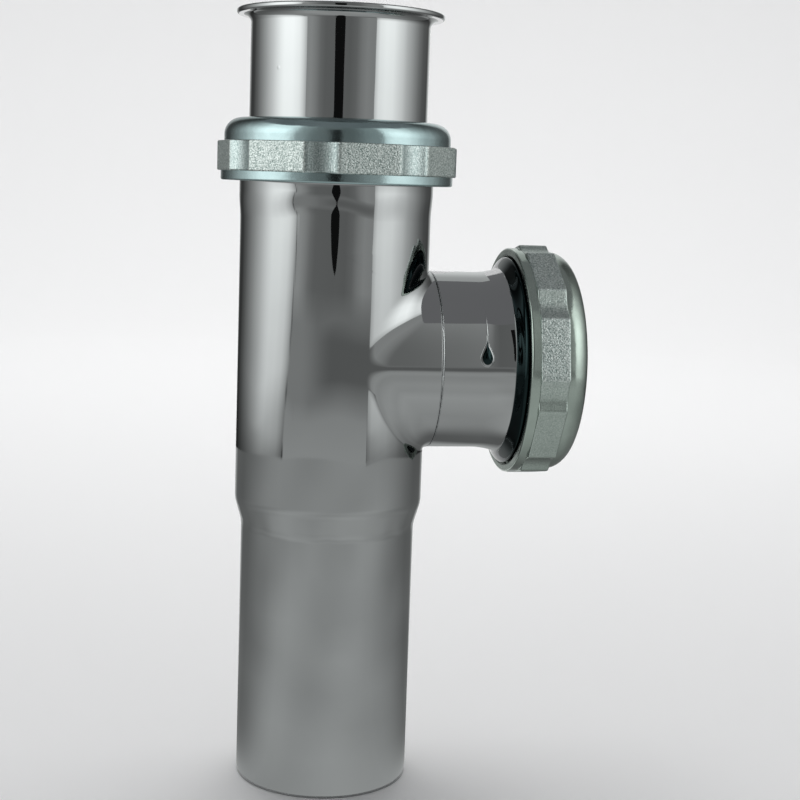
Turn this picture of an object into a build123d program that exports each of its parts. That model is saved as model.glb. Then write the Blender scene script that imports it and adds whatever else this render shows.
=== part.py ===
from math import atan2, cos, pi, radians, sin, sqrt
import os

from build123d import *

# A tubular waste tee with slip joints, for under a basin. The run stands along +Z with its outlet end on the
# origin. The branch points along +X. All sizes are in millimetres.

# Tube
tube_od = 38.1
wall = 1.14
slip_clearance = 0.34

# Heights along the run, from the outlet end upwards
outlet_length = 57.2
reducer_length = 5.1
reducer_blend = 8.0
branch_rise = 31.2
nut_rise = 37.8
neck_length = 7.5
neck_step = 5.8
neck_growth = 0.3
exposed_length = 22.75
tailpiece_length = 50.8

# Flange rolled out at the top of the tailpiece
flange_width = 3.0
flange_bend = 1.8
flange_edge = 0.45

# Branch: the collar drawn out of the body, the ring of solder on its rim, and the sleeve beyond
sleeve_drop = 1.13
collar_step = 0.1
collar_lip = 0.22
collar_flat = 0.15
flank_blend = 25.0
collar_sections = 13
seam_width = 0.5
seam_crown = 0.22
sleeve_straight = 9.75
sleeve_taper = 5.4
taper_growth = 0.85
sleeve_bell = 2.0
bell_lag = 0.7
bell_to_nut = 0.3

# Rolled thread at each mouth, drawn as a plain cylinder over its crests
thread_rise = 2.37
thread_inset = 3.2
thread_length = 5.6
thread_clearance = 0.25
mouth_flare = 3.5

# Slip nut
nut_wall = 1.75
rim_height = 2.0
band_height = 6.3
dome_step = 0.65
dome_wall = 2.55
dome_radius = 2.9
hole_clearance = 0.3
hole_edge = 0.4
pad_count = 8
pad_width_deg = 30.0
recess_drop = 0.2
pad_corner = 0.5
pad_bevel = 0.35
rim_bevel = 0.35
top_pad_turn = 7.7
side_pad_turn = -11.7

# Washer and friction ring inside each nut
seat_play = 0.05
washer_shoulder = 1.2
washer_nose = 4.1
nose_slope = 1.3
washer_bore_clearance = 0.08
washer_mouth_clearance = 0.26
washer_nut_clearance = 0.85
ring_thickness = 0.5

# Radii that follow from those above
tube_r = tube_od / 2
body_r = tube_r + slip_clearance + wall
neck_r = body_r + neck_growth
flange_r = tube_r + flange_width
sleeve_r = body_r - sleeve_drop
taper_r = sleeve_r + taper_growth
collar_r = sleeve_r + collar_step
thread_r = body_r + thread_rise
mouth_r = thread_r - wall
nut_bore_r = thread_r + thread_clearance
rim_r = nut_bore_r + nut_wall
hole_r = tube_r + hole_clearance
washer_bore_r = tube_r + washer_bore_clearance
washer_r = nut_bore_r - washer_nut_clearance
nose_r = mouth_r - washer_mouth_clearance

# Stack inside a slip joint, from the nut's open end to its dome
mouth_height = thread_inset + thread_length
washer_base = mouth_height + seat_play
ring_base = washer_base + washer_shoulder + seat_play
dome_base = ring_base + ring_thickness + seat_play
nut_height = dome_base + dome_wall

# Heights along the run
body_base = outlet_length + reducer_length
branch_z = body_base + branch_rise
nut_base = branch_z + nut_rise
neck_start = nut_base - neck_length
flare_end = nut_base + thread_inset
flare_start = flare_end - mouth_flare
rim_z = nut_base + mouth_height
flange_top = nut_base + nut_height + exposed_length

# Reaches along the branch
collar_reach = body_r + collar_lip
sleeve_reach = collar_reach + seam_width
side_taper_start = sleeve_reach + sleeve_straight
side_bell_start = side_taper_start + sleeve_taper
side_bell_end = side_bell_start + sleeve_bell
bell_slope = 2 * taper_growth / sleeve_taper
side_nut_reach = side_bell_end + bell_to_nut
side_rim = side_nut_reach + mouth_height

# Each slip joint is drawn from the plane of its nut's open end
top_seat = Plane(origin=(0, 0, nut_base), x_dir=(1, 0, 0), z_dir=(0, 0, 1))
side_seat = Plane(origin=(side_nut_reach, 0, branch_z), x_dir=(0, -1, 0), z_dir=(1, 0, 0))

# The branch's own half section, with x along the branch and y outwards from its axis
branch_section = Plane(origin=(0, 0, branch_z), x_dir=(1, 0, 0), z_dir=(0, -1, 0))
branch_axis = Axis((0, 0, branch_z), (1, 0, 0))

os.makedirs("parts", exist_ok=True)

# Tailpiece: a plain tube, rolled out into a flange at its top.
with BuildPart() as tailpiece:
    with BuildSketch(Plane.XZ) as section:
        with BuildLine():
            Polyline(
                (tube_r - wall, flange_top - tailpiece_length),
                (tube_r, flange_top - tailpiece_length),
                (tube_r, flange_top - wall),
                (flange_r, flange_top - wall),
                (flange_r, flange_top),
                (tube_r - wall, flange_top),
                close=True,
            )
        make_face()
        outer_bend = section.vertices().sort_by_distance((tube_r, flange_top - wall, 0))[0]
        inner_bend = section.vertices().sort_by_distance((tube_r - wall, flange_top, 0))[0]
        fillet(outer_bend, flange_bend)
        fillet(inner_bend, flange_bend + wall)
        fillet(section.vertices().group_by(Axis.X)[-1], flange_edge)
    revolve(axis=Axis.Z)
tailpiece.part.label = "tailpiece"
export_step(tailpiece.part, "parts/tailpiece.step")


def foot_section(inset, top):
    """Half section of the run from its outlet end up to a height, taken in from the outside by an inset."""
    with BuildSketch(Plane.XZ) as foot:
        with BuildLine():
            Polyline(
                (0, 0),
                (tube_r - inset, 0),
                (tube_r - inset, outlet_length),
                (body_r - inset, body_base),
                (body_r - inset, top),
                (0, top),
                close=True,
            )
        make_face()
        for corner in ((tube_r - inset, outlet_length, 0), (body_r - inset, body_base, 0)):
            fillet(foot.vertices().sort_by_distance(corner)[0], reducer_blend)
    return foot.sketch


def mouth_section(inset, bottom):
    """Half section of the run from a height up to its mouth, taken in from the outside by an inset."""
    with BuildSketch(Plane.XZ) as mouth:
        with BuildLine():
            Polyline((0, rim_z), (0, bottom), (body_r - inset, bottom), (body_r - inset, neck_start))
            Polyline(
                (body_r - inset, neck_start),
                (neck_r - inset, neck_start + neck_step),
                (neck_r - inset, flare_start),
            )
            Bezier(
                (neck_r - inset, flare_start),
                (neck_r - inset, flare_start + mouth_flare / 3),
                (thread_r - inset, flare_end - mouth_flare / 3),
                (thread_r - inset, flare_end),
            )
            Polyline((thread_r - inset, flare_end), (thread_r - inset, rim_z), (0, rim_z))
        make_face()
    return mouth.sketch


# Tee body: one tube, its foot swaged down, its mouth expanded for the thread, its side drawn into a collar.
# Where the collar leaves the body, each level outline is the body's circle, the collar's straight flanks,
# and a concave arc that touches both. The arc ends no further out than the collar's rim, so it is wide at
# the branch's mid height and all but sharp at its crown, where the collar hardly leaves the body.
collar_half = collar_r - collar_flat

with BuildPart() as tee_body:
    for k in range(collar_sections):
        rise = collar_half * sin(pi / 2 * (2 * k / (collar_sections - 1) - 1))
        flank = sqrt(collar_r**2 - rise**2)
        widest_blend = (collar_reach**2 / (body_r - flank) - body_r - flank) / 2
        blend = 1 / sqrt(1 / widest_blend**2 + 1 / flank_blend**2)
        blend_x = sqrt((body_r + blend) ** 2 - (flank + blend) ** 2)
        touch_x = blend_x * body_r / (body_r + blend)
        touch_y = (flank + blend) * body_r / (body_r + blend)
        half_turn = (atan2(touch_y - flank - blend, touch_x - blend_x) - pi / 2) / 2
        middle_x = blend_x + blend * cos(half_turn)
        middle_y = flank + blend + blend * sin(half_turn)
        with BuildSketch(Plane.XY.offset(branch_z + rise)):
            with BuildLine():
                Line((collar_reach, -flank), (collar_reach, flank))
                Line((collar_reach, flank), (blend_x, flank))
                ThreePointArc((blend_x, flank), (middle_x, middle_y), (touch_x, touch_y))
                ThreePointArc((touch_x, touch_y), (-body_r, 0), (touch_x, -touch_y))
                ThreePointArc((touch_x, -touch_y), (middle_x, -middle_y), (blend_x, -flank))
                Line((blend_x, -flank), (collar_reach, -flank))
            make_face()
    loft()
    revolve(foot_section(0, branch_z - collar_half), axis=Axis.Z)
    revolve(mouth_section(0, branch_z + collar_half), axis=Axis.Z)
    revolve(foot_section(wall, branch_z), axis=Axis.Z, mode=Mode.SUBTRACT)
    revolve(mouth_section(wall, branch_z), axis=Axis.Z, mode=Mode.SUBTRACT)
    with BuildSketch(Plane.YZ):
        with Locations((0, branch_z)):
            Circle(sleeve_r - wall)
    extrude(amount=collar_reach, mode=Mode.SUBTRACT)
tee_body.part.label = "tee_body"
export_step(tee_body.part, "parts/tee_body.step")

# Solder seam: the ring of solder between the collar's rim and the sleeve, a little proud of both.
with BuildPart() as solder_seam:
    with BuildSketch(branch_section):
        with BuildLine():
            Polyline(
                (collar_reach, sleeve_r - wall),
                (sleeve_reach, sleeve_r - wall),
                (sleeve_reach, sleeve_r + seam_crown),
                (collar_reach, sleeve_r + seam_crown),
                close=True,
            )
        make_face()
    revolve(axis=branch_axis)
solder_seam.part.label = "solder_seam"
export_step(solder_seam.part, "parts/solder_seam.step")

# Branch sleeve: a plain tube from the seam that widens a little, then opens in a steep bell to the thread of
# its mouth. Its inner wall opens a little further out than its outer wall, so that the bell isn't thinned.
with BuildPart() as branch_sleeve:
    with BuildSketch(branch_section):
        with BuildLine():
            for inset, lag in ((0, 0), (wall, bell_lag)):
                bell_start = side_bell_start + lag
                bell_end = side_bell_end + lag
                Line((sleeve_reach, sleeve_r - inset), (side_taper_start + lag, sleeve_r - inset))
                Bezier(
                    (side_taper_start + lag, sleeve_r - inset),
                    (bell_start - sleeve_taper / 2, sleeve_r - inset),
                    (bell_start, taper_r - inset),
                )
                Bezier(
                    (bell_start, taper_r - inset),
                    (bell_start + sleeve_bell / 4, taper_r - inset + bell_slope * sleeve_bell / 4),
                    (bell_end - sleeve_bell / 3, thread_r - inset),
                    (bell_end, thread_r - inset),
                )
                Line((bell_end, thread_r - inset), (side_rim, thread_r - inset))
            Line((sleeve_reach, sleeve_r), (sleeve_reach, sleeve_r - wall))
            Line((side_rim, thread_r), (side_rim, mouth_r))
        make_face()
    revolve(axis=branch_axis)
branch_sleeve.part.label = "branch_sleeve"
export_step(branch_sleeve.part, "parts/branch_sleeve.step")

# Slip nuts, washers and friction rings: the same set at the run's mouth and at the branch's.
pad_half = pad_width_deg / 2
pad_pitch = 360 / pad_count
pad_corner_r = rim_r / cos(radians(pad_half))
recess_r = rim_r - recess_drop
band_top = rim_height + band_height


def around(radius, angle):
    """The point at a radius and an angle in degrees."""
    return (radius * cos(radians(angle)), radius * sin(radians(angle)))


for name, seat, pad_turn in (("top", top_seat, top_pad_turn), ("side", side_seat, side_pad_turn)):
    seat_axis = Axis(seat.origin, seat.z_dir)
    seat_section = Plane(origin=seat.origin, x_dir=seat.x_dir, z_dir=-seat.y_dir)

    # Nut: a band of flat pads with a hollow between each two, on a smooth rim and under a domed end.
    with BuildPart() as slip_nut:
        with BuildSketch(seat.offset(rim_height)) as band:
            with BuildLine():
                for k in range(pad_count):
                    centre = pad_turn + k * pad_pitch
                    pad_end = around(pad_corner_r, centre + pad_half)
                    Line(around(pad_corner_r, centre - pad_half), pad_end)
                    ThreePointArc(
                        pad_end,
                        around(recess_r, centre + pad_pitch / 2),
                        around(pad_corner_r, centre + pad_pitch - pad_half),
                    )
            make_face()
            fillet(band.vertices(), pad_corner)
        extrude(amount=band_height)
        chamfer(slip_nut.edges().group_by(seat_axis)[-1], pad_bevel)
        with BuildSketch(seat):
            Circle(rim_r)
        extrude(amount=rim_height)
        chamfer(slip_nut.edges().group_by(seat_axis)[0], rim_bevel)
        with BuildSketch(seat.offset(band_top)):
            Circle(rim_r - dome_step)
        extrude(amount=nut_height - band_top)
        fillet(slip_nut.edges().group_by(seat_axis)[-1], dome_radius)
        with BuildSketch(seat):
            Circle(nut_bore_r)
        extrude(amount=dome_base, mode=Mode.SUBTRACT)
        with BuildSketch(seat):
            Circle(hole_r)
        extrude(amount=nut_height, mode=Mode.SUBTRACT)
        chamfer(slip_nut.edges().group_by(seat_axis)[-1].sort_by(SortBy.RADIUS)[0], hole_edge)
    slip_nut.part.label = f"{name}_slip_nut"
    export_step(slip_nut.part, f"parts/{name}_slip_nut.step")

    # Washer: a shoulder that lies on the mouth's rim, and a bevelled nose that wedges inside it.
    with BuildPart() as washer:
        with BuildSketch(seat_section):
            with BuildLine():
                Polyline(
                    (washer_bore_r, washer_base - washer_nose),
                    (nose_r - nose_slope, washer_base - washer_nose),
                    (nose_r, washer_base),
                    (washer_r, washer_base),
                    (washer_r, washer_base + washer_shoulder),
                    (washer_bore_r, washer_base + washer_shoulder),
                    close=True,
                )
            make_face()
        revolve(axis=seat_axis)
    washer.part.label = f"{name}_washer"
    export_step(washer.part, f"parts/{name}_washer.step")

    # Friction ring: thin brass between the washer and the dome of the nut.
    with BuildPart() as friction_ring:
        with BuildSketch(seat.offset(ring_base)):
            Circle(washer_r)
            Circle(hole_r, mode=Mode.SUBTRACT)
        extrude(amount=ring_thickness)
    friction_ring.part.label = f"{name}_friction_ring"
    export_step(friction_ring.part, f"parts/{name}_friction_ring.step")
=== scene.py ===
import bmesh
import bpy
import numpy as np
from mathutils import Matrix


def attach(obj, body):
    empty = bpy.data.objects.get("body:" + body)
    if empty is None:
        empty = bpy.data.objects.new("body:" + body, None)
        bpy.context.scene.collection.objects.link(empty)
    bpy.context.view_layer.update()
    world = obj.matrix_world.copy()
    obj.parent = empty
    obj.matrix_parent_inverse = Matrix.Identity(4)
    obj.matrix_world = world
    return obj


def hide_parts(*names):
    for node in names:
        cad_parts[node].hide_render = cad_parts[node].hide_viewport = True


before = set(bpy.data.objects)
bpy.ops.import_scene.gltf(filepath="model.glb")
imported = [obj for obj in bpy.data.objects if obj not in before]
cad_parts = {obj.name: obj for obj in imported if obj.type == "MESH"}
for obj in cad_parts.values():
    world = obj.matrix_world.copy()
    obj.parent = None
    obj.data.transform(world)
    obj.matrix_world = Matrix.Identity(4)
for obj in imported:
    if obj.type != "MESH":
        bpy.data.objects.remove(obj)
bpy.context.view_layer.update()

# Tee body. One drawn brass tube, plated with nickel and chrome: its foot is swaged down, its mouth is expanded
# and rolled with a thread, and its side is pulled out into a short collar that blends into the wall.
# Lengths of shapes are in millimetres until a mesh is made, and those in materials are in metres.
tube_r, wall = 19.05, 1.14
body_r, neck_r, thread_r = 20.53, 20.83, 22.9
branch_z, collar_r, collar_reach, sleeve_r = 93.5, 19.5, 20.75, 19.4
flank_blend, inner_blend, reducer_blend = 25.0, 0.3, 8
foot_top, body_base, foot_split = 57.2, 62.3, 20
step_start, step_end = 123.8, 129.6
flare_start, flare_end, rim_z = 131.0, 134.5, 140.1
thread_pitch, thread_depth, inner_thread_depth = 25.4 / 11.5, 0.85, 0.2


def rounded_path(corners, radii, steps=6):
    """A path of straight runs whose inner corners are exact circular arcs. Each arc is a conic from cut point to cut
    point, P(s) = ((1-s)^2 A + 2s(1-s) w C + s^2 B) / ((1-s)^2 + 2s(1-s) w + s^2), with w the cosine of half the turn.
    A point further out on each side, by a quarter of the cut and at most 0.1 mm, keeps the runs' shading flat."""
    corners = np.asarray(corners, float)
    before, corner, after = corners[:-2], corners[1:-1], corners[2:]
    back = (before - corner) / np.linalg.norm(before - corner, axis=1, keepdims=True)
    ahead = (after - corner) / np.linalg.norm(after - corner, axis=1, keepdims=True)
    half_turn = (np.pi - np.arccos(np.clip((back * ahead).sum(1), -1, 1))) / 2
    cut = (np.asarray(radii, float) * np.tan(half_turn))[:, None]
    s = np.linspace(0, 1, steps + 1)[None, :, None]
    w = np.cos(half_turn)[:, None, None]
    start, end = (corner + back * cut)[:, None], (corner + ahead * cut)[:, None]
    weight = (1 - s) ** 2 + 2 * s * (1 - s) * w + s**2
    arcs = ((1 - s) ** 2 * start + 2 * s * (1 - s) * w * corner[:, None] + s**2 * end) / weight
    lead = cut + np.minimum(cut / 4, 0.1)
    lead_in, lead_out = (corner + back * lead)[:, None], (corner + ahead * lead)[:, None]
    inner = np.concatenate((lead_in, arcs, lead_out), axis=1).reshape(-1, 2)
    return np.vstack((corners[:1], inner, corners[-1:]))


def smooth_step(x):
    """0 below 0, 1 above 1, and 3x^2 - 2x^3 between."""
    x = np.clip(x, 0, 1)
    return x * x * (3 - 2 * x)


def grid_piece(name, grids, marks=None):
    """A mesh object from grids of points in millimetres. Each grid is (points[row, column, xyz], closed rows, closed
    columns), and each of its cells is one quad. Grids that share border points are merged along them. Marks are
    values for every point, kept as float attributes."""
    faces, offset = [], 0
    for points, rows_closed, columns_closed in grids:
        rows, columns = points.shape[:2]
        index = offset + np.arange(rows * columns).reshape(rows, columns)
        index = np.vstack((index, index[:1])) if rows_closed else index
        index = np.hstack((index, index[:, :1])) if columns_closed else index
        cell = (index[:-1, :-1], index[:-1, 1:], index[1:, 1:], index[1:, :-1])
        faces.append(np.stack(cell, axis=-1).reshape(-1, 4))
        offset += rows * columns
    points = np.vstack([grid[0].reshape(-1, 3) for grid in grids]) * 0.001
    mesh = bpy.data.meshes.new(name)
    mesh.from_pydata(points.tolist(), [], np.vstack(faces).tolist())
    for mark, values in (marks or {}).items():
        mesh.attributes.new(mark, "FLOAT", "POINT").data.foreach_set("value", np.ravel(values))
    if len(grids) > 1:
        shell = bmesh.new()
        shell.from_mesh(mesh)
        bmesh.ops.remove_doubles(shell, verts=shell.verts, dist=1e-6)
        bmesh.ops.recalc_face_normals(shell, faces=shell.faces)
        shell.to_mesh(mesh)
        shell.free()
    mesh.shade_smooth()
    piece = bpy.data.objects.new(name, mesh)
    bpy.context.scene.collection.objects.link(piece)
    return piece


def collar_grid(radius, collar, border, cut_in, cut_out):
    """The side of the tube around its collar: a grid whose columns run from the collar's rim, along the collar to
    where it meets the tube, round a blend, and over the tube to a rectangle. A column at angle a on the collar meets
    the tube where y = collar cos a and height = collar sin a. The blend is a parabola whose control point is where
    the collar's straight line crosses the tangent plane at the blend's end on the tube."""
    edge_turn, edge_rise = border
    angle = np.arctan2(edge_rise / patch_half_height, edge_turn / patch_half_turn)
    y, rise = collar * np.cos(angle), collar * np.sin(angle)
    meet_x, meet_turn = np.sqrt(radius**2 - y**2), np.arcsin(y / radius)
    cut_in = np.minimum(cut_in(angle), 0.97 * (collar_reach - meet_x))
    along_collar = np.concatenate(((1.0, 0.985), np.linspace(0.97, 0, 9) ** 1.2))[:, None]
    on_collar = along_collar * (collar_reach - meet_x - cut_in) + meet_x + cut_in
    collar_part = np.stack(np.broadcast_arrays(on_collar, y, branch_z + rise), axis=-1)
    length = np.hypot(radius * (edge_turn - meet_turn), edge_rise - rise)
    blend_share = np.minimum(cut_out(angle) / length, 0.8)
    share = blend_share + (1 - blend_share) * np.linspace(0, 1, 17)[:, None] ** 1.25
    turn = meet_turn + share * (edge_turn - meet_turn)
    height = branch_z + rise + share * (edge_rise - rise)
    tube_part = np.stack((radius * np.cos(turn), radius * np.sin(turn), height), axis=-1)
    control_x = (radius - y * np.sin(turn[0])) / np.cos(turn[0])
    control = np.stack((control_x, y, branch_z + rise), axis=-1)
    s = np.linspace(0, 1, 17)[1:-1, None, None]
    blend = (1 - s) ** 2 * collar_part[-1] + 2 * s * (1 - s) * control + s**2 * tube_part[0]
    return np.vstack((collar_part, blend, tube_part))


def blend_radius(angle):
    """The radius of the arc that joins collar and tube in the level plane of that angle."""
    flank = collar_r * np.abs(np.cos(angle))
    widest = (collar_reach**2 / (body_r - flank) - body_r - flank) / 2
    return 1 / np.sqrt(1 / widest**2 + 1 / flank_blend**2)


def blend_on_collar(angle):
    """How far along the collar that arc reaches from where collar and tube would meet."""
    flank, r = collar_r * np.abs(np.cos(angle)), blend_radius(angle)
    return np.sqrt((body_r + r) ** 2 - (flank + r) ** 2) - np.sqrt(body_r**2 - flank**2)


def blend_on_tube(angle):
    """How far round the tube that arc reaches from where collar and tube would meet."""
    flank, r = collar_r * np.abs(np.cos(angle)), blend_radius(angle)
    return body_r * (np.arcsin((flank + r) / (body_r + r)) - np.arcsin(flank / body_r))


def blend_inside(angle):
    """The inner wall's blend, as short along the collar as round the tube."""
    return np.full_like(angle, inner_blend)


# The patch is the part of the side wall that holds the collar, and edge is its border as (turn, rise) of each column.
patch_half_turn, patch_half_height = np.radians(95.0), 24.0
across, upright, behind = 96, 72, 86
front_turns = np.linspace(-patch_half_turn, patch_half_turn, across + 1)
back_turns = np.linspace(patch_half_turn, 2 * np.pi - patch_half_turn, behind + 1)
all_turns = np.concatenate((front_turns, back_turns[1:-1]))
side_rises = np.linspace(-patch_half_height, patch_half_height, upright + 1)
edge = (
    np.concatenate(
        (
            np.full(upright, patch_half_turn),
            front_turns[:0:-1],
            np.full(upright, -patch_half_turn),
            front_turns[:-1],
        )
    ),
    np.concatenate(
        (
            side_rises[:-1],
            np.full(across, patch_half_height),
            side_rises[:0:-1],
            np.full(across, -patch_half_height),
        )
    ),
)
outer_collar = collar_grid(body_r, collar_r, edge, blend_on_collar, blend_on_tube)
bore_r, collar_bore = body_r - wall, sleeve_r - wall
inner_collar = collar_grid(bore_r, collar_bore, edge, blend_inside, blend_inside)
rim_share = np.linspace(0, 1, 4)[:, None, None]
collar_rim = outer_collar[0] * (1 - rim_share) + inner_collar[0] * rim_share


def turned(profile, turns, wave=None):
    """A profile of (radius, height) turned about the run's axis. A wave adds to the radius of each point."""
    radius = profile[:, :1] + (0 if wave is None else wave)
    height = np.broadcast_to(profile[:, 1:], (len(profile), len(turns)))
    return np.stack((radius * np.cos(turns), radius * np.sin(turns), height), axis=-1)


def side_wall(radius):
    """The tube's plain wall behind the collar's patch."""
    heights = branch_z + side_rises
    return turned(np.stack((np.full_like(heights, radius), heights), axis=-1), back_turns)


def mouth_half(inset):
    """The mouth from the patch's top edge to its rim: a low step, the flare and the threaded end."""
    patch_top = branch_z + patch_half_height
    plain = (patch_top, patch_top + 3.0)
    step = np.linspace(step_start, step_end, 15)
    flare = np.linspace(flare_start, flare_end, 13)
    thread = np.linspace(flare_end, rim_z - 0.3, 37)[1:]
    heights = np.concatenate((plain, step, flare, thread))
    radius = body_r + (neck_r - body_r) * smooth_step((heights - step_start) / (step_end - step_start))
    radius = radius + (thread_r - neck_r) * smooth_step((heights - flare_start) / (flare_end - flare_start))
    return np.stack((radius - inset, heights), axis=-1)


def helix(reach, turns):
    """A thread's depth from 0 at its crest to 1 at its root: 0.5 - 0.5 cos(2 pi reach / pitch - turn)."""
    return 0.5 - 0.5 * np.cos(2 * np.pi * reach / thread_pitch - turns)


outside, inside = mouth_half(0), mouth_half(wall)[::-1]
rim_round = rounded_path(
    [(thread_r, rim_z - 0.3), (thread_r, rim_z), (thread_r - wall, rim_z), (thread_r - wall, rim_z - 0.3)],
    (0.22, 0.22),
)[1:-1]
outer_rim_points = 8
mouth_profile = np.vstack((outside, rim_round, inside))
mouth_height = mouth_profile[:, 1:]

# The thread fades in above the flare and out below the rim, and is shallow on the inside.
thread_zone = smooth_step((mouth_height - flare_end - 0.1) / 1.2) * smooth_step((rim_z - 0.2 - mouth_height) / 0.7)
is_outside = (np.arange(len(mouth_profile)) < len(outside) + outer_rim_points)[:, None]
thread_wave = -thread_zone * helix(mouth_height, all_turns) * np.where(is_outside, thread_depth, inner_thread_depth)

# The step wanders up and down by up to 1.6 mm on its way round, which bends the reflections in it.
step_wander = 0.8 * np.sin(3 * all_turns + 0.9) + 0.5 * np.sin(7 * all_turns + 2.2) + 0.3 * np.sin(11 * all_turns)
step_height = step_end - step_start
step_share = (mouth_height - step_start) / step_height
step_wave = (neck_r - body_r) * (smooth_step(step_share - step_wander / step_height) - smooth_step(step_share))
mouth = turned(mouth_profile, all_turns, thread_wave + step_wave)

patch_bottom = branch_z - patch_half_height
foot_profile = np.vstack(
    (
        rounded_path(
            [(body_r, patch_bottom), (body_r, body_base), (tube_r, foot_top), (tube_r, foot_split)],
            (reducer_blend, reducer_blend),
            12,
        )[:-1],
        rounded_path(
            [(tube_r, foot_split), (tube_r, 0), (tube_r - wall, 0), (tube_r - wall, foot_split)], (0.18, 0.25)
        ),
        rounded_path(
            [
                (tube_r - wall, foot_split),
                (tube_r - wall, foot_top),
                (body_r - wall, body_base),
                (body_r - wall, patch_bottom),
            ],
            (reducer_blend, reducer_blend),
            12,
        )[1:],
    )
)

# Shallow wrinkles where the swage pressed the body down to the foot.
wrinkle_height, wrinkle_z, wrinkle_spread = 0.03, 58.5, 2.2
wrinkle = np.sin(9 * all_turns + 0.6) + np.sin(14 * all_turns + 2.0) * np.sin(2 * all_turns) + np.sin(23 * all_turns)
swage_wave = wrinkle_height * np.exp(-(((foot_profile[:, 1:] - wrinkle_z) / wrinkle_spread) ** 2)) * wrinkle
foot = turned(foot_profile, all_turns, swage_wave)

tee_grids = [
    (outer_collar, False, True),
    (inner_collar, False, True),
    (collar_rim, False, True),
    (side_wall(body_r), False, False),
    (side_wall(bore_r), False, False),
    (mouth, False, True),
    (foot, False, True),
]


def bore_mark(grid):
    """1 on the inner wall of the tee, 0 on its outer wall. The limit between the two walls' radii is 18.5 mm in the
    foot, 20 mm in the body and 21.7 mm in the threaded end."""
    x, y, z = np.moveaxis(grid, -1, 0)
    from_run, from_branch = np.hypot(x, y), np.hypot(y, z - branch_z)
    limit = np.where(z < 60, 18.5, np.where(z > 133, 21.7, 20.0))
    in_run = from_run < limit
    in_branch = (x > 0) & (from_branch < 18.9) & (from_run < 30)
    return (in_run | in_branch).astype(float).ravel()


tee = grid_piece("tee", tee_grids, {"bore": np.concatenate([bore_mark(grid[0]) for grid in tee_grids])})


def linear(hex_colour):
    """A linear colour from an sRGB hex value: c/12.92 up to 0.04045, and ((c + 0.055)/1.055)^2.4 above it."""
    srgb = np.array([int(hex_colour[i : i + 2], 16) for i in (1, 3, 5)]) / 255
    return (*np.where(srgb <= 0.04045, srgb / 12.92, ((srgb + 0.055) / 1.055) ** 2.4), 1.0)


def add_node(tree, kind, inputs=(), **settings):
    """Adds one node. Each input is given a value, or linked where the value is another node's socket."""
    node = tree.nodes.new("ShaderNode" + kind)
    for setting, value in settings.items():
        setattr(node, setting, value)
    for socket, value in dict(inputs).items():
        if isinstance(value, bpy.types.NodeSocket):
            tree.links.new(value, node.inputs[socket])
        else:
            node.inputs[socket].default_value = value
    return node


# Nickel and chrome plate over a drawn tube: a cold, neutral mirror. The draw leaves faint lines along the tube
# and a slow waviness that bends the edges of reflections, handling leaves a thin haze, and specks under the plate
# leave a few nibs half a millimetre wide. The bore is dull and stained, and marked places are painted nearly
# black as painted shade and painted dark reflection.
chrome = bpy.data.materials.new("Nickel and chrome plate on drawn brass tube")
chrome.use_nodes = True
tree = chrome.node_tree
plate = tree.nodes["Principled BSDF"]
place = add_node(tree, "TexCoord").outputs["Object"]
haze = add_node(tree, "TexNoise", {"Vector": place, "Scale": 1 / 0.018, "Detail": 4.0}).outputs[0]
drawn = add_node(tree, "Mapping", {"Vector": place, "Scale": (1, 1, 0.03)}).outputs[0]
lines = add_node(tree, "TexNoise", {"Vector": drawn, "Scale": 1 / 0.0011, "Detail": 2.0}).outputs[0]
waves = add_node(tree, "TexNoise", {"Vector": place, "Scale": 1 / 0.014, "Detail": 1.0}).outputs[0]
bore = add_node(tree, "Attribute", attribute_name="bore").outputs["Fac"]
shine = add_node(
    tree, "MapRange", {"Value": haze, "From Min": 0.35, "From Max": 0.75, "To Min": 0.02, "To Max": 0.05}
).outputs[0]
rough = add_node(tree, "Mix", {0: bore, 2: shine, 3: 0.38}).outputs[0]
tint = add_node(
    tree, "Mix", {0: haze, 6: linear("#a5a6a7"), 7: linear("#afb0b0")}, data_type="RGBA"
).outputs[2]
stain = add_node(tree, "TexNoise", {"Vector": place, "Scale": 1 / 0.006, "Detail": 6.0}).outputs[0]
dull = add_node(
    tree, "Mix", {0: stain, 6: linear("#6f6a5c"), 7: linear("#a39a86")}, data_type="RGBA"
).outputs[2]
worn = add_node(tree, "Mix", {0: bore, 6: tint, 7: dull}, data_type="RGBA").outputs[2]
# Painted shade and painted dark reflection: where a piece marks it, the plate's colour is painted nearly black.
painted_dark = add_node(tree, "Attribute", attribute_name="painted_dark").outputs["Fac"]
colour = add_node(tree, "Mix", {0: painted_dark, 6: worn, 7: linear("#1f2a2b")}, data_type="RGBA").outputs[2]
wavy = add_node(tree, "Bump", {"Height": waves, "Distance": 0.00004, "Strength": 1.0}).outputs[0]
lined = add_node(
    tree, "Bump", {"Height": lines, "Distance": 0.0000006, "Strength": 1.0, "Normal": wavy}
).outputs[0]
cells = add_node(tree, "TexVoronoi", {"Vector": place, "Scale": 1 / 0.011})
chosen = add_node(
    tree,
    "MapRange",
    {"Value": cells.outputs["Color"], "From Min": 0.6, "From Max": 0.62, "To Min": 0.0, "To Max": 1.0},
).outputs[0]
spot = add_node(
    tree,
    "MapRange",
    {"Value": cells.outputs["Distance"], "From Min": 0.0, "From Max": 0.045, "To Min": 1.0, "To Max": 0.0},
).outputs[0]
nib = add_node(tree, "Math", {0: chosen, 1: spot}, operation="MULTIPLY").outputs[0]
nibbed = add_node(
    tree, "Bump", {"Height": nib, "Distance": 0.00003, "Strength": 1.0, "Normal": lined}
).outputs[0]
plate.inputs["Metallic"].default_value = 1.0
tree.links.new(colour, plate.inputs["Base Color"])
tree.links.new(rough, plate.inputs["Roughness"])
tree.links.new(nibbed, plate.inputs["Normal"])

tee.data.materials.append(chrome)
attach(tee, "tee")
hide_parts("tee_body")

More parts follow.
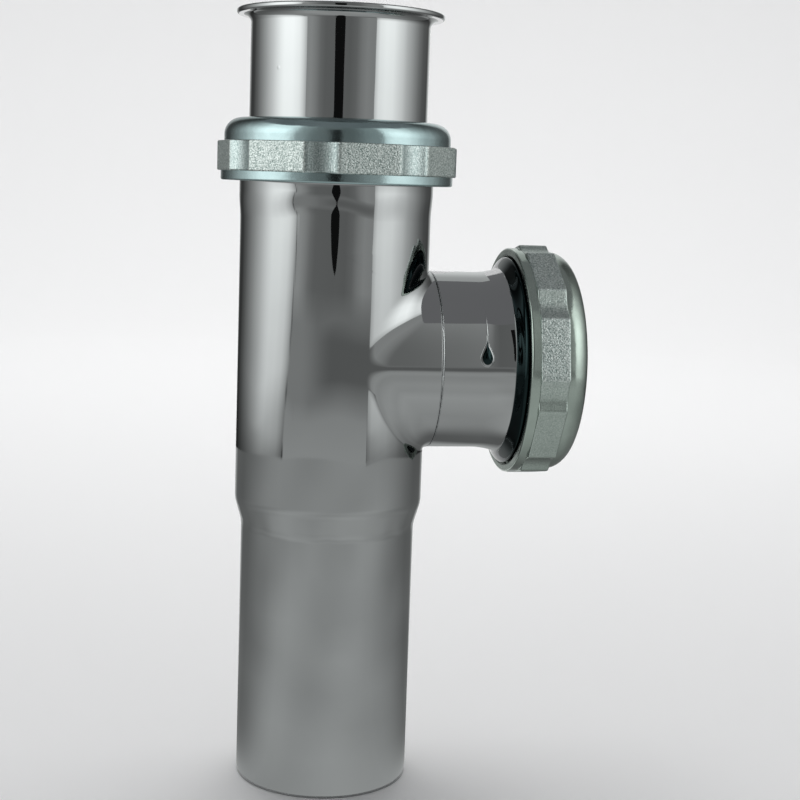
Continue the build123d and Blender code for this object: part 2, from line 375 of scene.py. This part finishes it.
# Solder seam. Soft solder drawn into the joint between the collar's rim and the sleeve, then plated over. It is
# a low ring, full and bright where it was wiped, and sunk and dark where the joint is starved.


def turned_on(profile, columns, origin, axes, wave=0.0):
    """A closed profile of (radius, reach) turned about an axis: point = origin + r (cos t u + sin t v) + reach w."""
    turns = np.linspace(0, 2 * np.pi, columns, endpoint=False) if np.isscalar(columns) else columns
    u, v, w = np.asarray(axes, float)
    radius = (profile[:, :1] + wave)[..., None]
    reach = np.broadcast_to(profile[:, 1:], radius.shape[:2])[..., None]
    return np.asarray(origin, float) + radius * (np.cos(turns)[:, None] * u + np.sin(turns)[:, None] * v) + reach * w


branch_axes = ((0, -1, 0), (0, 0, -1), (1, 0, 0))
seam_start, seam_end = collar_reach, 21.25
seam_bore, seam_shoulder, seam_crest = 18.26, 19.0, 19.46
seam_profile = np.array(
    [
        (seam_bore, seam_start),
        (seam_shoulder, seam_start),
        (seam_crest, seam_start + 0.01),
        (seam_crest, seam_start + 0.13),
        (19.45, seam_start + 0.19),
        (19.45, seam_start + 0.25),
        (19.45, seam_start + 0.31),
        (19.43, seam_start + 0.37),
        (19.41, seam_end - 0.01),
        (seam_shoulder, seam_end),
        (seam_bore, seam_end),
    ]
)
seam_turns = np.linspace(0, 2 * np.pi, 360, endpoint=False)
phases = np.random.default_rng(11).uniform(0, 2 * np.pi, 6)
ripple = sum(np.sin(n * seam_turns + p) / n for n, p in zip((9, 14, 23, 37, 51, 70), phases))

# The groove in the seam's middle is 0.24 mm wide. It is full within about 14 degrees of a place that is 8 degrees
# above the front, and starved further round.
from_full = np.abs((np.degrees(seam_turns) + 8 + 180) % 360 - 180)
starved = smooth_step((from_full - 14) / 10 + ripple)
groove_reach = seam_start + 0.25
in_groove = np.clip(1 - np.abs(seam_profile[:, 1:] - groove_reach) / 0.12, 0, 1) * (seam_profile[:, :1] > 19.2)
seam_wave = in_groove * (0.03 + 0.04 * ripple - 0.28 * starved)
seam = grid_piece(
    "seam",
    [(turned_on(seam_profile, seam_turns, (0, 0, branch_z), branch_axes, seam_wave), True, True)],
    {"starved": np.ravel(in_groove * starved)},
)

# Tin solder: a soft grey metal, lumpy and duller than the plate, and nearly black where the joint is starved.
tin = bpy.data.materials.new("Soft solder")
tin.use_nodes = True
tree = tin.node_tree
solder = tree.nodes["Principled BSDF"]
place = add_node(tree, "TexCoord").outputs["Object"]
flow = add_node(tree, "TexNoise", {"Vector": place, "Scale": 1 / 0.0009, "Detail": 3.0}).outputs[0]
tin_tint = add_node(
    tree, "Mix", {0: flow, 6: linear("#8b8d8f"), 7: linear("#d4d6d6")}, data_type="RGBA"
).outputs[2]
solder.inputs["Metallic"].default_value = 1.0
solder.inputs["Roughness"].default_value = 0.24
gap = add_node(tree, "Attribute", attribute_name="starved").outputs["Fac"]
seam_tint = add_node(tree, "Mix", {0: gap, 6: tin_tint, 7: linear("#1b1a19")}, data_type="RGBA").outputs[2]
tree.links.new(seam_tint, solder.inputs["Base Color"])
lumps = add_node(tree, "Bump", {"Height": flow, "Distance": 0.00006, "Strength": 1.0}).outputs[0]
tree.links.new(lumps, solder.inputs["Normal"])
seam.data.materials.append(tin)
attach(seam, "tee")
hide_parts("solder_seam")

# Branch sleeve. A short tube soldered to the collar, expanded at its end and rolled with the same thread as the
# mouth of the run. It carries the same plate, and its bell and outside thread, in the shade of the side nut, are
# painted nearly black as painted shade.
taper_r, side_mouth_r, sleeve_columns = 20.25, 21.76, 240
taper_start, bell_start, bell_end, side_rim, bell_lag = 31.0, 36.4, 38.4, 47.5, 0.7


def sleeve_half(inset, lag):
    """The sleeve from the seam to its rim: plain, a taper that rises by the square of the distance, a steep bell that
    is a cubic curve from the taper's slope to level, then the threaded end. The inner wall's bell lags the outer's."""
    plain = np.concatenate(((seam_end, seam_end + 0.05), np.linspace(seam_end + 0.1, taper_start + lag, 8)))
    taper = np.linspace(0, 1, 13)[1:]
    bell = np.linspace(0, 1, 25)[1:]
    thread = np.linspace(bell_end + lag, side_rim - 0.3, 46)[1:]
    slope = 2 * (taper_r - sleeve_r) / (bell_start - taper_start)
    width = bell_end - bell_start
    bell_reach = bell_start + lag + width * (3 * bell * (1 - bell) ** 2 / 4 + 2 * bell**2 * (1 - bell) + bell**3)
    low, high = taper_r * (1 - bell) ** 3, 3 * (taper_r + slope * width / 4) * bell * (1 - bell) ** 2
    bell_radius = low + high + thread_r * (3 * bell**2 * (1 - bell) + bell**3)
    reach = np.concatenate((plain, taper_start + lag + taper * (bell_start - taper_start), bell_reach, thread))
    radius = np.concatenate(
        (plain * 0 + sleeve_r, sleeve_r + (taper_r - sleeve_r) * taper**2, bell_radius, thread * 0 + thread_r)
    )
    return np.stack((radius - inset, reach), axis=-1)


side_round = rounded_path(
    [
        (thread_r, side_rim - 0.3),
        (thread_r, side_rim),
        (side_mouth_r, side_rim),
        (side_mouth_r, side_rim - 0.3),
    ],
    (0.22, 0.22),
)[1:-1]
sleeve_out = sleeve_half(0, 0)
sleeve_profile = np.vstack((sleeve_out, side_round, sleeve_half(wall, bell_lag)[::-1]))
sleeve_reach = sleeve_profile[:, 1:]
sleeve_turns = np.linspace(0, 2 * np.pi, sleeve_columns, endpoint=False)
threaded = smooth_step((sleeve_reach - bell_end - 0.1) / 0.8) * smooth_step((side_rim - 0.2 - sleeve_reach) / 0.7)
sleeve_outside = (np.arange(len(sleeve_profile)) < len(sleeve_out) + outer_rim_points)[:, None]
cut_depth = np.where(sleeve_outside, thread_depth, inner_thread_depth)
sleeve_wave = -threaded * helix(sleeve_reach, sleeve_turns) * cut_depth
# Painted shade: the bell and the outside thread are marked to be painted nearly black.
sleeve_painted_shade = smooth_step((sleeve_reach - bell_start) / 0.15) * sleeve_outside
sleeve = grid_piece(
    "sleeve",
    [(turned_on(sleeve_profile, sleeve_turns, (0, 0, branch_z), branch_axes, sleeve_wave), True, True)],
    {
        "bore": np.repeat(~sleeve_outside, sleeve_columns).astype(float),
        "painted_dark": np.repeat(sleeve_painted_shade, sleeve_columns),
    },
)
sleeve.data.materials.append(chrome)
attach(sleeve, "tee")
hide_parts("branch_sleeve")

# Drip. A low bead on the sleeve: a thin trail that ends in a drop, painted nearly black in the middle as a painted
# dark reflection, with a bright meniscus where it meets the tube.
drip_columns, drip_middle, drip_offset, drip_half_width = 96, 30.45, 2.6, 1.55
drip_below, drip_above, trail_length, trail_spread = 2.0, 3.4, 7.0, 0.16
drip_crest, drip_foot, drip_sunk = 0.42, 0.02, 0.3

# Its outline is an ellipse below and a teardrop above. Columns near the top stretch into the trail.
drip_turns = np.linspace(0, 2 * np.pi, drip_columns, endpoint=False)
drip_turn, drip_share = np.meshgrid(drip_turns, np.linspace(0, 1, 15)[1:])
lower = np.cos(drip_turn) > 0
drip_down = np.where(lower, drip_below, drip_above) * np.cos(drip_turn)
drip_side = drip_half_width * np.sin(drip_turn) * np.where(lower, 1.0, (1 + np.cos(drip_turn)) ** 0.6)
drip_side = drip_side + 0.18 * np.tanh(8 * np.sin(drip_turn)) * np.clip(-np.cos(drip_turn), 0, 1)
trail = np.exp(-(((drip_turn - np.pi) / trail_spread) ** 2)) * trail_length
drip_down = drip_share * (drip_down - trail)
drip_reach = drip_middle + drip_share * drip_side

# It is highest in the middle and thins out up the trail, and its last row is sunk into the sleeve.
thinning = np.exp(-np.maximum(-drip_down - drip_below, 0) / 2.0)
drip_height = drip_foot + drip_crest * (1 - smooth_step(drip_share / 0.97)) * thinning
drip_angle = (drip_down - drip_offset) / sleeve_r
drip_r = sleeve_r + np.vstack((drip_height, np.full((1, drip_columns), -drip_sunk)))
drip_angle, drip_reach = np.vstack((drip_angle, drip_angle[-1:])), np.vstack((drip_reach, drip_reach[-1:]))
drip_points = np.stack(
    (drip_reach, -drip_r * np.cos(drip_angle), branch_z - drip_r * np.sin(drip_angle)), axis=-1
)
# Painted dark reflection: the inner part of the drop, up to 6.4 mm above the branch's axis, is painted nearly black.
drip_painted_reflection = (np.vstack((drip_share, drip_share[-1:])) < 0.72) & (drip_points[..., 2] < branch_z + 6.4)
drip = grid_piece("drip", [(drip_points, False, True)], {"painted_dark": np.ravel(drip_painted_reflection).astype(float)})

# The drop's middle and its sunk foot are closed with one face each.
shell = bmesh.new()
shell.from_mesh(drip.data)
for end_row in (shell.verts[:drip_columns], shell.verts[-drip_columns:]):
    bmesh.ops.contextual_create(shell, geom=end_row)
bmesh.ops.recalc_face_normals(shell, faces=shell.faces)
shell.to_mesh(drip.data)
shell.free()
drip.data.shade_smooth()
drip.data.materials.append(chrome)
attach(drip, "tee")

# Tailpiece. A plain plated tube that slides in the mouth of the run. Its top end is rolled out into a flange
# that a basin waste bears on. Its outline starts and ends on the plain outside, 1 mm apart.
tail_bottom, tail_top, flange_r, flange_bend, tail_columns = 116.45, 167.25, 22.05, 1.8, 240
tail_profile = rounded_path(
    [
        (tube_r, 140.0),
        (tube_r, tail_top - wall),
        (flange_r, tail_top - wall),
        (flange_r, tail_top),
        (tube_r - wall, tail_top),
        (tube_r - wall, tail_bottom),
        (tube_r, tail_bottom),
        (tube_r, 139.0),
    ],
    (flange_bend, 0.45, 0.45, flange_bend + wall, 0.25, 0.18),
    10,
)
run_axes = ((1, 0, 0), (0, 1, 0), (0, 0, 1))
outer_bend_points = 12
tail_bore = (tail_profile[:, 0] < tube_r - wall + 0.9) & (np.arange(len(tail_profile)) > outer_bend_points)
tail = grid_piece(
    "tail",
    [(turned_on(tail_profile, tail_columns, (0, 0, 0), run_axes), True, True)],
    {"bore": np.repeat(tail_bore & (tail_profile[:, 1] < tail_top - 1.5), tail_columns).astype(float)},
)
tail.data.materials.append(chrome)
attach(tail, "tail_tube")
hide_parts("tailpiece")

# Slip joints, one at the mouth of the run and one at the branch: a rubber washer wedged in the tube's mouth, a
# thin brass ring that slips on it, and a die-cast zinc nut with grip pads that pulls both down on the thread.
# Each is: name, seat, axes, turn of the pads in degrees, rounding of the dome, and the bodies of its three pieces.
joints = (
    ("top", (0, 0, 131.3), run_axes, 7.7, 3.5, "upper_seal", "upper_ring", "upper_nut"),
    ("side", (38.7, 0, branch_z), branch_axes, -11.7, 4.25, "tee", "side_ring", "side_nut"),
)
seal_columns, washer_bore, hole_r, seal_r = 160, 19.13, 19.35, 22.3
washer_base, washer_top, ring_base, ring_top = 4.75, 10.05, 10.1, 10.6
washer_profile = rounded_path(
    [
        (washer_bore, 7.0),
        (washer_bore, washer_base),
        (20.2, washer_base),
        (21.5, 8.85),
        (seal_r, 8.85),
        (seal_r, washer_top),
        (washer_bore, washer_top),
        (washer_bore, 7.1),
    ],
    (0.2, 0.3, 0.1, 0.3, 0.3, 0.2),
)
ring_profile = rounded_path(
    [
        (20, ring_base),
        (seal_r, ring_base),
        (seal_r, ring_top),
        (hole_r, ring_top),
        (hole_r, ring_base),
        (19.9, ring_base),
    ],
    (0.08, 0.08, 0.08, 0.08),
    3,
)

# The nut's closed outline, from its bore out over the rim, the band of pads and the dome to the tube's hole, and
# back down the threaded bore. The band's part is shaped by the pads, and the side nut's dome is the rounder one.
nut_bore_r, rim_r, band_r, dome_r = 23.15, 24.9, 24.95, 24.25
rim_top, band_top, dome_seat, nut_height = 2.0, 8.3, 10.65, 13.2
pad_r, hollow_r, pad_half, pad_soft = 24.9, 24.7, np.radians(15.0), 0.65
corner_r = pad_r / np.cos(pad_half)
nut_rim = rounded_path([(nut_bore_r, 1.0), (nut_bore_r, 0), (rim_r, 0), (rim_r, rim_top - 0.04)], (0.3, 0.4), 4)
nut_outer = np.vstack((nut_rim, [(rim_r, rim_top)]))
nut_band = rounded_path(
    [(24.5, rim_top), (band_r, rim_top), (band_r, band_top), (dome_r, band_top)], (0.3, 0.35), 4
)[2:-1]
bore_rows, bore_start, bore_end = 61, 9.9, 1.1
bore_reach = np.linspace(bore_start, bore_end, bore_rows)
nut_bore = np.stack((np.full(bore_rows, nut_bore_r), bore_reach), axis=-1)


def nut_outline(dome_round):
    """The whole outline, its dome rounded to dome_round. It has as many points whatever the rounding."""
    dome = rounded_path(
        [
            (dome_r + 0.05, band_top),
            (dome_r, band_top),
            (dome_r, nut_height),
            (hole_r, nut_height),
            (hole_r, dome_seat),
            (nut_bore_r, dome_seat),
            (nut_bore_r, 10.0),
        ],
        (0.02, dome_round, 0.4, 0.15, 0.1),
        12,
    )
    return np.vstack((nut_outer, nut_band, dome, nut_bore))


in_band = np.zeros(len(nut_outline(3.5)))
in_band[len(nut_outer) : len(nut_outer) + len(nut_band)] = 1
in_bore = np.zeros(len(in_band))
in_bore[-bore_rows:] = smooth_step(np.minimum(bore_reach - bore_end, bore_start - bore_reach) / 1.0)
nut_thread_depth = 0.75


def pad_columns(turn):
    """Angles round the nut, close together at the pads' corners: eight pads 45 degrees apart."""
    flat = np.linspace(-13.4, 13.4, 13)
    corner = np.linspace(13.8, 16.6, 9)
    hollow = np.linspace(17.2, 27.8, 9)
    one = np.concatenate((flat, corner, hollow, 45 - corner[::-1]))
    return np.radians((np.arange(8)[:, None] * 45 + one).ravel() + turn)


def pad_wave(turns, turn):
    """How far the band's outline stands from pad_r: the lesser of a flat, pad_r / cos d about the pad's middle, and an
    arc that is hollow_r at the middle between two pads, joined smoothly where they are within pad_soft."""
    pitch = np.radians(45)
    off_pad = (turns - np.radians(turn) + pitch / 2) % pitch - pitch / 2
    off_hollow = (turns - np.radians(turn)) % pitch - pitch / 2
    half_gap = pitch / 2 - pad_half
    chord, sag = corner_r * np.sin(half_gap), corner_r * np.cos(half_gap) - hollow_r
    arc_r = (chord**2 + sag**2) / (2 * sag)
    across = np.clip((hollow_r + arc_r) * np.sin(off_hollow), -arc_r * 0.98, arc_r * 0.98)
    hollow = (hollow_r + arc_r) * np.cos(off_hollow) - np.sqrt(arc_r**2 - across**2)
    flat = pad_r / np.cos(off_pad)
    near = np.maximum(pad_soft - np.abs(flat - hollow), 0) / pad_soft
    return np.minimum(flat, hollow) - near**2 * pad_soft / 4 - pad_r


def facet_grain(turns, turn, side):
    """How much die grain each facet kept: all of it on a pad, two thirds in a hollow, and less where the side nut was
    tumbled longest, 52 degrees down from its front."""
    off_pad = np.abs((turns - np.radians(turn) + np.pi / 8) % (np.pi / 4) - np.pi / 8)
    kept = np.where(off_pad < pad_half, 1.0, 0.65)
    tumbled_part = 0.75 * smooth_step((np.cos(turns - np.radians(52)) - 0.55) / 0.3) if side == "side" else 0.0
    return kept * (1 - tumbled_part)


# Moulded rubber: black, matt, with a faint bloom.
rubber = bpy.data.materials.new("Moulded nitrile rubber")
rubber.use_nodes = True
tree = rubber.node_tree
elastic = tree.nodes["Principled BSDF"]
place = add_node(tree, "TexCoord").outputs["Object"]
bloom = add_node(tree, "TexNoise", {"Vector": place, "Scale": 1 / 0.003, "Detail": 5.0}).outputs[0]
black = add_node(
    tree, "Mix", {0: bloom, 6: linear("#141516"), 7: linear("#26282a")}, data_type="RGBA"
).outputs[2]
tree.links.new(black, elastic.inputs["Base Color"])
elastic.inputs["Roughness"].default_value = 0.55
skin = add_node(tree, "Bump", {"Height": bloom, "Distance": 0.00005, "Strength": 0.6}).outputs[0]
tree.links.new(skin, elastic.inputs["Normal"])

# Half-hard brass strip: yellow, satin, with fine marks from the press.
brass = bpy.data.materials.new("Half-hard brass strip")
brass.use_nodes = True
tree = brass.node_tree
strip = tree.nodes["Principled BSDF"]
place = add_node(tree, "TexCoord").outputs["Object"]
marks = add_node(tree, "TexNoise", {"Vector": place, "Scale": 1 / 0.0015, "Detail": 5.0}).outputs[0]
yellow = add_node(
    tree, "Mix", {0: marks, 6: linear("#b08a4a"), 7: linear("#d9bd78")}, data_type="RGBA"
).outputs[2]
tree.links.new(yellow, strip.inputs["Base Color"])
strip.inputs["Metallic"].default_value = 1.0
strip.inputs["Roughness"].default_value = 0.3
pressed = add_node(tree, "Bump", {"Height": marks, "Distance": 0.00002, "Strength": 0.5}).outputs[0]
tree.links.new(pressed, strip.inputs["Normal"])

# Die-cast zinc with a clear passivate: a grey metal, its film blue on the top nut and green on the side nut. The rim
# and dome are tumbled smooth, and the band of pads keeps the grain of the die, drawn here as grains of 0.3 mm.
zinc = bpy.data.materials.new("Die-cast zinc, passivated")
zinc.use_nodes = True
tree = zinc.node_tree
cast = tree.nodes["Principled BSDF"]
place = add_node(tree, "TexCoord").outputs["Object"]
band = add_node(tree, "Attribute", attribute_name="band").outputs["Fac"]
grain = add_node(tree, "TexNoise", {"Vector": place, "Scale": 1 / 0.0003, "Detail": 2.0}).outputs[0]
cloud = add_node(tree, "TexNoise", {"Vector": place, "Scale": 1 / 0.007, "Detail": 4.0}).outputs[0]
film = add_node(tree, "Attribute", attribute_name="film").outputs["Fac"]
blue_tint = add_node(
    tree, "Mix", {0: cloud, 6: linear("#8b9fa1"), 7: linear("#b4c6c7")}, data_type="RGBA"
).outputs[2]
green_tint = add_node(
    tree, "Mix", {0: cloud, 6: linear("#8f9a93"), 7: linear("#b5c0b8")}, data_type="RGBA"
).outputs[2]
smooth_tint = add_node(tree, "Mix", {0: film, 6: blue_tint, 7: green_tint}, data_type="RGBA").outputs[2]
speck = add_node(
    tree, "MapRange", {"Value": grain, "From Min": 0.32, "From Max": 0.68, "To Min": 0.0, "To Max": 1.0}
).outputs[0]
grain_tint = add_node(
    tree, "Mix", {0: speck, 6: linear("#84928f"), 7: linear("#e2e8e5")}, data_type="RGBA"
).outputs[2]
zinc_tint = add_node(tree, "Mix", {0: band, 6: smooth_tint, 7: grain_tint}, data_type="RGBA").outputs[2]
tumbled = add_node(
    tree, "MapRange", {"Value": cloud, "From Min": 0.3, "From Max": 0.7, "To Min": 0.12, "To Max": 0.22}
).outputs[0]
zinc_rough = add_node(tree, "Mix", {0: band, 2: tumbled, 3: 0.44}).outputs[0]
grain_height = add_node(tree, "Math", {0: grain, 1: band}, operation="MULTIPLY").outputs[0]
tree.links.new(zinc_tint, cast.inputs["Base Color"])
tree.links.new(zinc_rough, cast.inputs["Roughness"])
cast.inputs["Metallic"].default_value = 1.0
uneven = add_node(tree, "Bump", {"Height": cloud, "Distance": 0.00025, "Strength": 0.5}).outputs[0]
grainy = add_node(
    tree, "Bump", {"Height": grain_height, "Distance": 0.0001, "Strength": 1.0, "Normal": uneven}
).outputs[0]
tree.links.new(grainy, cast.inputs["Normal"])

for side, origin, axes, turn, dome_round, seal_body, ring_body, nut_body in joints:
    washer = grid_piece(side + "_rubber", [(turned_on(washer_profile, seal_columns, origin, axes), True, True)])
    washer.data.materials.append(rubber)
    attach(washer, seal_body)
    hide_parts(side + "_washer")

    ring = grid_piece(side + "_brass_ring", [(turned_on(ring_profile, seal_columns, origin, axes), True, True)])
    ring.data.materials.append(brass)
    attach(ring, ring_body)
    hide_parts(side + "_friction_ring")

    turns = pad_columns(turn)
    nut_profile = nut_outline(dome_round)
    cut = helix(nut_profile[:, 1:], turns) * nut_thread_depth
    wave = in_band[:, None] * pad_wave(turns, turn) + in_bore[:, None] * cut
    nut = grid_piece(
        side + "_nut",
        [(turned_on(nut_profile, turns, origin, axes, wave), True, True)],
        {
            "band": np.ravel(in_band[:, None] * facet_grain(turns, turn, side)),
            "film": np.full(len(nut_profile) * len(turns), 1.0 if side == "side" else 0.0),
        },
    )
    nut.data.materials.append(zinc)
    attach(nut, nut_body)
    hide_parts(side + "_slip_nut")

# Camera, at the photograph's own place: 339 mm from the run's axis, a little above the side nut, rolled 2 degrees.
camera_at = (-0.045853, -0.336175, 0.13271)
heading, dip, roll = np.radians(-10.343), np.radians(8.077), np.radians(1.98)
ahead = np.array((-np.sin(heading) * np.cos(dip), np.cos(heading) * np.cos(dip), -np.sin(dip)))
level = np.cross(ahead, (0, 0, 1))
level = level / np.linalg.norm(level)
above = np.cross(level, ahead)
right = np.cos(roll) * level + np.sin(roll) * above
up = np.cos(roll) * above - np.sin(roll) * level
lens = bpy.data.cameras.new("camera")
lens.lens, lens.sensor_width = 70.07, 36.0
lens.clip_start = 0.01
camera = bpy.data.objects.new("camera", lens)
bpy.context.scene.collection.objects.link(camera)
facing = np.stack((right, up, -ahead, camera_at), axis=1)
camera.matrix_world = Matrix([*facing.tolist(), (0, 0, 0, 1)])
bpy.context.scene.camera = camera

# Studio: a round cove of pale card that the object stands in, two tall curved lights at its sides, soft lights above,
# and a dark camera stand in front, which the plate mirrors as a narrow black line.
toward_camera = np.array((-0.1351, -0.9908, 0.0))
rightward = np.array((0.9908, -0.1351, 0.0))


def around(bearing, distance):
    """Points on the floor at a distance from the run's axis, on a bearing in degrees from the camera's direction,
    positive to its right."""
    turn = np.radians(np.asarray(bearing, float))[..., None]
    return np.asarray(distance, float)[..., None] * (np.cos(turn) * toward_camera + np.sin(turn) * rightward)


# The cove's floor is flat to 900 mm, then curves up by 350 mm to an upright wall.
cove_floor, cove_curve, cove_top = 900, 350, 1000
curve_turn = np.linspace(0, np.pi / 2, 15)
cove_r = np.concatenate(
    ((0.5, 100, 300, 600), cove_floor + cove_curve * np.sin(curve_turn), (cove_floor + cove_curve,))
)
cove_height = np.concatenate(((0, 0, 0, 0), cove_curve - cove_curve * np.cos(curve_turn), (cove_top,)))
cove_points = turned(
    np.stack((cove_r, cove_height), axis=-1), np.linspace(0, 2 * np.pi, 128, endpoint=False)
)
sweep = grid_piece("sweep", [(cove_points, False, True)])
card = bpy.data.materials.new("Matt white card")
card.use_nodes = True
tree = card.node_tree
matt = tree.nodes["Principled BSDF"]
matt.inputs["Base Color"].default_value = linear("#ececec")
matt.inputs["Roughness"].default_value = 0.9
matt.inputs["Specular IOR Level"].default_value = 0.1
sweep.data.materials.append(card)


def lit_sheet(name, points, levels):
    """A sheet that glows by the level kept in its attribute, and that only the object's metal sees. The camera
    doesn't see it, it casts no shadow, and it leaves the card's light to the lamps."""
    sheet = grid_piece(name, [(points, False, False)], {"level": levels})
    glow = bpy.data.materials.new(name)
    glow.use_nodes = True
    tree = glow.node_tree
    tree.nodes.clear()
    level = add_node(tree, "Attribute", attribute_name="level").outputs["Fac"]
    shine = add_node(tree, "Emission", {"Color": linear("#fbfffe"), "Strength": level}).outputs[0]
    add_node(tree, "OutputMaterial", {"Surface": shine})
    glow.cycles.emission_sampling = "NONE"
    sheet.data.materials.append(glow)
    sheet.visible_camera = False
    sheet.visible_shadow = False
    sheet.visible_diffuse = False


# Two curved lights, brighter towards their tops, fade out towards the back. The wall between them is dark, with a
# darker rail low down and a paler shoulder beside each light. The left light's near edge stands further back low
# down, and the rail wanders up and down, so that their edges in the plate aren't quite straight.
surround_r = 420
bearings = np.concatenate((np.linspace(-172, -50, 62), np.linspace(-49, 52, 203), np.linspace(54, 172, 60)))
heights = np.concatenate(((0.3, 10, 20, 29, 38, 47, 56, 66, 80), np.linspace(100, 600, 11)))
turn_grid, height_grid = np.meshgrid(bearings, heights)
bent_grid = turn_grid + np.interp(height_grid, (0, 60, 150), (17, 8, 0)) * (turn_grid < 0)
left_light = np.interp(
    bent_grid,
    (-172, -160, -150, -139, -126, -116, -107, -99, -92, -85, -79, -73, -61, -51, -46, -42, -41),
    (0.4, 0.3, 0.05, 0.06, 0.18, 0.34, 0.52, 0.74, 0.95, 1.23, 1.47, 1.64, 1.66, 1.47, 1.1, 0.7, 0.0),
)
right_light = np.interp(
    bent_grid,
    (44, 45, 50, 59, 70, 77, 86, 93, 101, 109, 119, 131, 148, 158, 172),
    (0.0, 0.9, 1.3, 1.44, 1.39, 1.2, 0.98, 0.73, 0.56, 0.4, 0.24, 0.13, 0.08, 0.5, 0.6),
)
side_level = left_light + right_light
growth = np.interp(height_grid, (0, 20, 37, 100, 192, 300, 450), (0.29, 0.6, 0.79, 1.0, 1.42, 1.5, 1.15))
front_level = np.interp(
    bent_grid,
    (-42, -36, -30, -24, -18, 12, 20, 27, 34, 42),
    (0.55, 0.55, 0.44, 0.3, 0.24, 0.22, 0.27, 0.4, 0.48, 0.46),
)
rail_level = np.interp(height_grid, (0, 20, 38, 56, 66), (0.56, 0.5, 0.2, 0.2, 0.3))
rail_level = np.maximum(rail_level, 0.2 + 0.2 * smooth_step((2 - turn_grid) / 40))
front_level = np.where(height_grid < 80, rail_level, front_level) * (np.abs(bent_grid - 1.5) < 43)
wander = np.where(np.abs(turn_grid) < 44, 1.2, 5.0) * np.sin(np.radians(turn_grid) * 5 + 1)
surround_points = around(turn_grid, np.full(turn_grid.shape, surround_r))
surround_points[..., 2] = height_grid + wander * ((height_grid > 10) & (height_grid < 70))
lit_sheet("surround", surround_points, side_level * growth + front_level * (side_level == 0))

# A grey mat round the object, seen by the metal alone, darkens towards the back and keeps the edges of the foot and
# the body dark. It lies flat, and its glow rises and falls in soft waves, which leave soft shapes in the foot.
mat_turns, mat_radius = np.meshgrid(
    np.linspace(-172, 172, 173), (19.6, 40, 60, 85, 115, 150, 200, 260, 330, surround_r)
)
mat_points = around(mat_turns, mat_radius)
mat_points[..., 2] = 0.3
mat_levels = np.interp(
    np.abs(mat_turns), (0, 46, 60, 75, 92, 107, 125, 148, 160), (0.58, 0.6, 0.58, 0.51, 0.4, 0.31, 0.22, 0.18, 0.5)
)
glow_waves = np.sin(np.radians(mat_turns) * 3.1 + mat_radius / 34) * np.sin(mat_radius / 21 - np.radians(mat_turns) * 1.3)
fade = np.interp(mat_radius, (19.6, 60, 200, surround_r), (1.04, 1.0, 0.94, 0.88))
lit_sheet("mat", mat_points, mat_levels * fade * (1 + 0.11 * glow_waves))

# The camera stand, a dark upright strip in front of the object. It widens and narrows on its way up, from rows of
# (bearing of one edge, bearing of the other, height).
stand_distance, stand_level = 150, 0.01
stand_rows = np.array(
    [
        (-6.7, 5.0, 230),
        (-6.6, 5.0, 175),
        (-5.6, 4.9, 151.5),
        (-8.2, 5.1, 130.5),
        (-5.9, 2.8, 127.6),
        (-5.0, 4.2, 126),
        (-5.0, 4.2, 118),
        (-3.7, 3.3, 111),
        (-1.8, 2.0, 107),
        (0.5, 0.7, 104.8),
    ]
)
stand_points = around(stand_rows[:, :2], np.full((len(stand_rows), 2), stand_distance))
stand_points[..., 2] = stand_rows[:, 2:]
lit_sheet("stand", stand_points, np.full(stand_points.shape[:2], stand_level))

# Two lamps light the card. The world's grey comes in over the cove's open top.
for name, at, turn_by, size, power in (
    ("overhead", (0.0, 0.3, 1.2), (0, 0, 0), 0.8, 2.0),
    ("backdrop_light", (0.12, 0.62, 0.95), (np.radians(4), 0, 0), 1.1, 7.4),
):
    lamp = bpy.data.lights.new(name, "AREA")
    lamp.shape, lamp.size, lamp.energy = "SQUARE", size, power
    hung = bpy.data.objects.new(name, lamp)
    hung.location, hung.rotation_euler = at, turn_by
    hung.visible_camera = False
    hung.visible_glossy = False
    bpy.context.scene.collection.objects.link(hung)

world = bpy.data.worlds.new("studio")
world.use_nodes = True
world.node_tree.nodes["Background"].inputs["Color"].default_value = linear("#898a8c")
bpy.context.scene.world = world
bpy.context.scene.view_settings.view_transform = "Standard"
